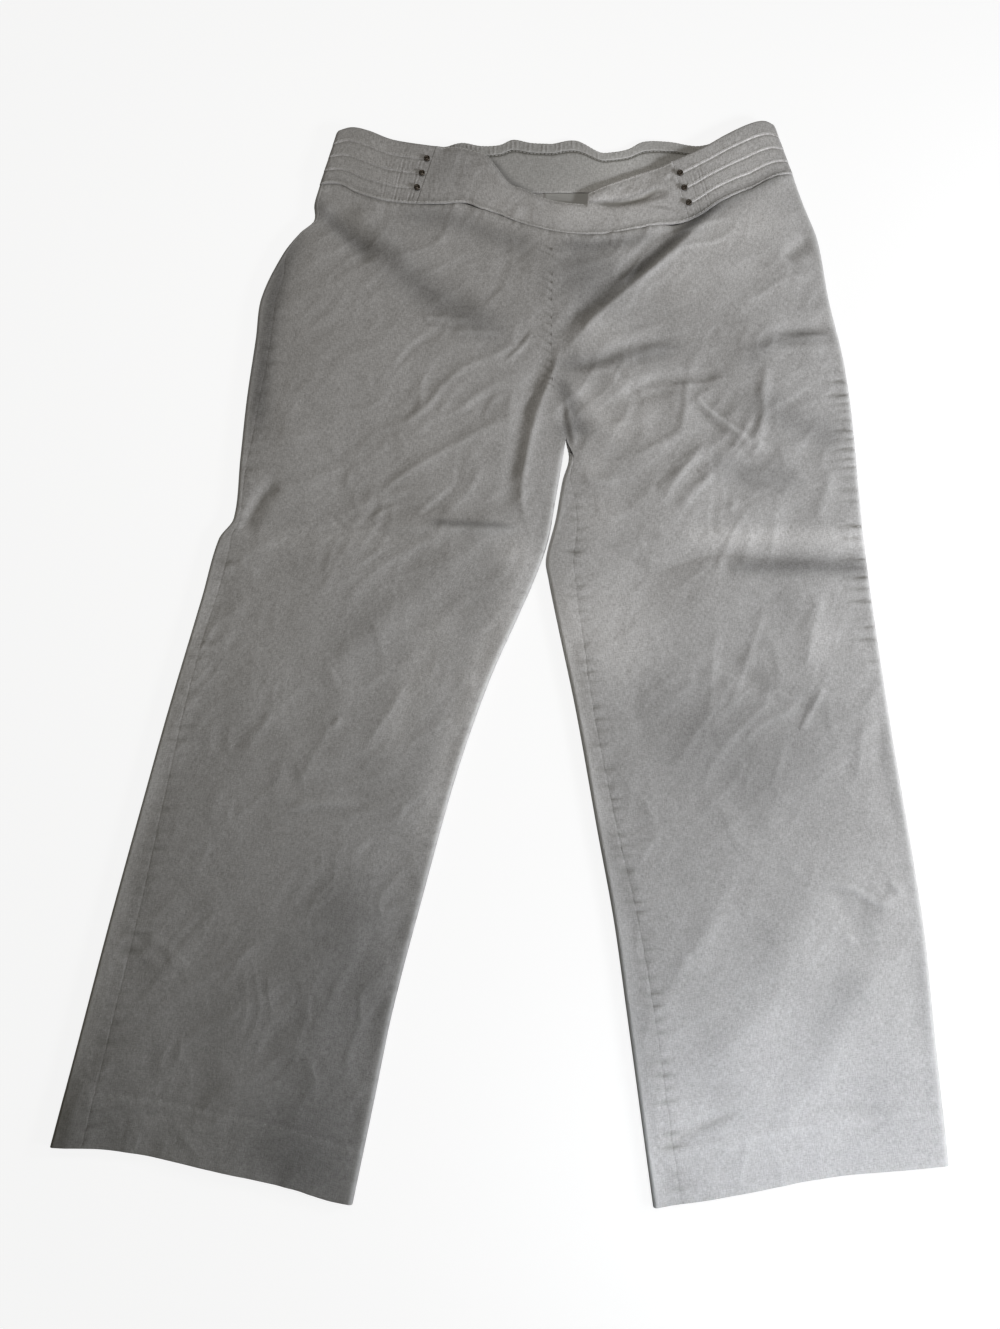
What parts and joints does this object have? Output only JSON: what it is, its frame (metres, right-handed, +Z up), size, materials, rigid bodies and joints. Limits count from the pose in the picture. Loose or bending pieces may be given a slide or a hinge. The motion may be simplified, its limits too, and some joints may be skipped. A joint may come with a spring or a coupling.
{
  "type": "cropped pull-on trousers",
  "caption": "Flat-laid cropped pull-on trousers in stone-grey stretch twill, with a tucked waistband, dark rivets and wide straight legs.",
  "frame": {"origin": "middle of the garment's bounding box in plan, on the surface it lies on", "axes": "+X to the wearer's left leg (the viewer's right), +Y along the legs from the hems to the waist, +Z up out of the surface"},
  "size_m": [0.6379, 0.857, 0.0101],
  "materials": {
    "twill": "matte light stone-grey stretch cotton twill, fine diagonal weave, tone-on-tone stitching",
    "facing": "matte inner face of the same twill",
    "label": "plain grey woven tab, no text",
    "rivet_metal": "dark antiqued metal dome, satin"
  },
  "bodies": {
    "root": {"front_leg_right": "twill", "front_leg_left": "twill", "back_leg_right": "twill", "back_leg_left": "twill", "waistband_front": "twill", "side_band_right": "twill", "side_band_left": "twill", "waistband_back": "facing", "elastic_casing": "facing", "label": "label", "rivet_right_1": "rivet_metal", "rivet_right_2": "rivet_metal", "rivet_right_3": "rivet_metal", "rivet_left_1": "rivet_metal", "rivet_left_2": "rivet_metal", "rivet_left_3": "rivet_metal"}
  },
  "joints": []
}
